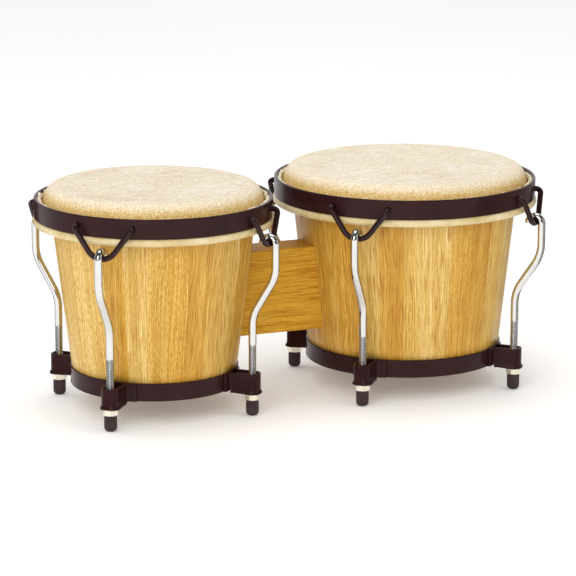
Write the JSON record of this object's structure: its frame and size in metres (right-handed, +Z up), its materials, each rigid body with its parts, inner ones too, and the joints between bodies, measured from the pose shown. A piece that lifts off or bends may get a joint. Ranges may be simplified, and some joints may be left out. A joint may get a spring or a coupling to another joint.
{
  "type": "bongo drums",
  "caption": "Bongo drums: tapered stave shells joined by a centre block, rawhide heads tensioned by steel rims, wire loops and hooked tuning rods that stand on rubber feet.",
  "frame": {"origin": "centre of the bounding box's footprint, on the plane the feet stand on", "axes": "+Z up, +X from the small drum to the large drum, +Y away from the player's front"},
  "size_m": [0.4314, 0.2198, 0.184],
  "materials": {
    "stave_wood": "satin lacquer, vertical oak grain",
    "block_wood": "satin lacquer, horizontal grain",
    "dark_paint": "satin powder coat",
    "chrome": "polished",
    "zinc": "pale yellow zinc plate",
    "foot_rubber": "matte",
    "rawhide": "natural, mottled",
    "hoop_wire": "plain"
  },
  "bodies": {
    "shells": {"macho_shell": "stave_wood", "macho_band": "dark_paint", "macho_saddles": "zinc", "macho_washers": "zinc", "macho_foot_1": "foot_rubber", "macho_ear_1": "dark_paint", "macho_foot_2": "foot_rubber", "macho_ear_2": "dark_paint", "macho_foot_3": "foot_rubber", "macho_ear_3": "dark_paint", "macho_foot_4": "foot_rubber", "macho_ear_4": "dark_paint", "hembra_shell": "stave_wood", "hembra_band": "dark_paint", "hembra_saddles": "zinc", "hembra_washers": "zinc", "hembra_foot_1": "foot_rubber", "hembra_ear_1": "dark_paint", "hembra_foot_2": "foot_rubber", "hembra_ear_2": "dark_paint", "hembra_foot_3": "foot_rubber", "hembra_ear_3": "dark_paint", "hembra_foot_4": "foot_rubber", "hembra_ear_4": "dark_paint", "centre_block": "block_wood", "tie_rods": "zinc", "tie_rod_nuts": "zinc"},
    "macho_head_assembly": {"macho_head": "rawhide", "macho_flesh_hoop": "hoop_wire", "macho_rim": "dark_paint", "macho_loop_1": "dark_paint", "macho_rod_1": "chrome", "macho_loop_2": "dark_paint", "macho_rod_2": "chrome", "macho_loop_3": "dark_paint", "macho_rod_3": "chrome", "macho_loop_4": "dark_paint", "macho_rod_4": "chrome"},
    "macho_nut_1_body": {"macho_nut_1": "zinc"},
    "macho_nut_2_body": {"macho_nut_2": "zinc"},
    "macho_nut_3_body": {"macho_nut_3": "zinc"},
    "macho_nut_4_body": {"macho_nut_4": "zinc"},
    "hembra_head_assembly": {"hembra_head": "rawhide", "hembra_flesh_hoop": "hoop_wire", "hembra_rim": "dark_paint", "hembra_loop_1": "dark_paint", "hembra_rod_1": "chrome", "hembra_loop_2": "dark_paint", "hembra_rod_2": "chrome", "hembra_loop_3": "dark_paint", "hembra_rod_3": "chrome", "hembra_loop_4": "dark_paint", "hembra_rod_4": "chrome"},
    "hembra_nut_1_body": {"hembra_nut_1": "zinc"},
    "hembra_nut_2_body": {"hembra_nut_2": "zinc"},
    "hembra_nut_3_body": {"hembra_nut_3": "zinc"},
    "hembra_nut_4_body": {"hembra_nut_4": "zinc"}
  },
  "joints": [
    {"name": "macho_tuning", "type": "slide", "parent": "shells", "child": "macho_head_assembly", "axis": [0, 0, 1], "range_m": [0, 0.008]},
    {"name": "macho_nut_1_turn", "type": "hinge", "parent": "shells", "child": "macho_nut_1_body", "pos_m": [-0.05737, 0.06088, 0.015], "axis": [0, 0, 1], "range_deg": [-2268, 0]},
    {"name": "macho_nut_2_turn", "type": "hinge", "parent": "shells", "child": "macho_nut_2_body", "pos_m": [-0.17913, 0.06088, 0.015], "axis": [0, 0, 1], "range_deg": [-2268, 0]},
    {"name": "macho_nut_3_turn", "type": "hinge", "parent": "shells", "child": "macho_nut_3_body", "pos_m": [-0.17913, -0.06088, 0.015], "axis": [0, 0, 1], "range_deg": [-2268, 0]},
    {"name": "macho_nut_4_turn", "type": "hinge", "parent": "shells", "child": "macho_nut_4_body", "pos_m": [-0.05737, -0.06088, 0.015], "axis": [0, 0, 1], "range_deg": [-2268, 0]},
    {"name": "hembra_tuning", "type": "slide", "parent": "shells", "child": "hembra_head_assembly", "axis": [0, 0, 1], "range_m": [0, 0.008]},
    {"name": "hembra_nut_1_turn", "type": "hinge", "parent": "shells", "child": "hembra_nut_1_body", "pos_m": [0.17498, 0.06923, 0.015], "axis": [0, 0, 1], "range_deg": [-2268, 0]},
    {"name": "hembra_nut_2_turn", "type": "hinge", "parent": "shells", "child": "hembra_nut_2_body", "pos_m": [0.03652, 0.06923, 0.015], "axis": [0, 0, 1], "range_deg": [-2268, 0]},
    {"name": "hembra_nut_3_turn", "type": "hinge", "parent": "shells", "child": "hembra_nut_3_body", "pos_m": [0.03652, -0.06923, 0.015], "axis": [0, 0, 1], "range_deg": [-2268, 0]},
    {"name": "hembra_nut_4_turn", "type": "hinge", "parent": "shells", "child": "hembra_nut_4_body", "pos_m": [0.17498, -0.06923, 0.015], "axis": [0, 0, 1], "range_deg": [-2268, 0]}
  ],
  "couplings": [
    {"joint": "macho_nut_1_turn", "follows": "macho_tuning", "rad_per_m": -4947.4},
    {"joint": "macho_nut_2_turn", "follows": "macho_tuning", "rad_per_m": -4947.4},
    {"joint": "macho_nut_3_turn", "follows": "macho_tuning", "rad_per_m": -4947.4},
    {"joint": "macho_nut_4_turn", "follows": "macho_tuning", "rad_per_m": -4947.4},
    {"joint": "hembra_nut_1_turn", "follows": "hembra_tuning", "rad_per_m": -4947.4},
    {"joint": "hembra_nut_2_turn", "follows": "hembra_tuning", "rad_per_m": -4947.4},
    {"joint": "hembra_nut_3_turn", "follows": "hembra_tuning", "rad_per_m": -4947.4},
    {"joint": "hembra_nut_4_turn", "follows": "hembra_tuning", "rad_per_m": -4947.4}
  ]
}
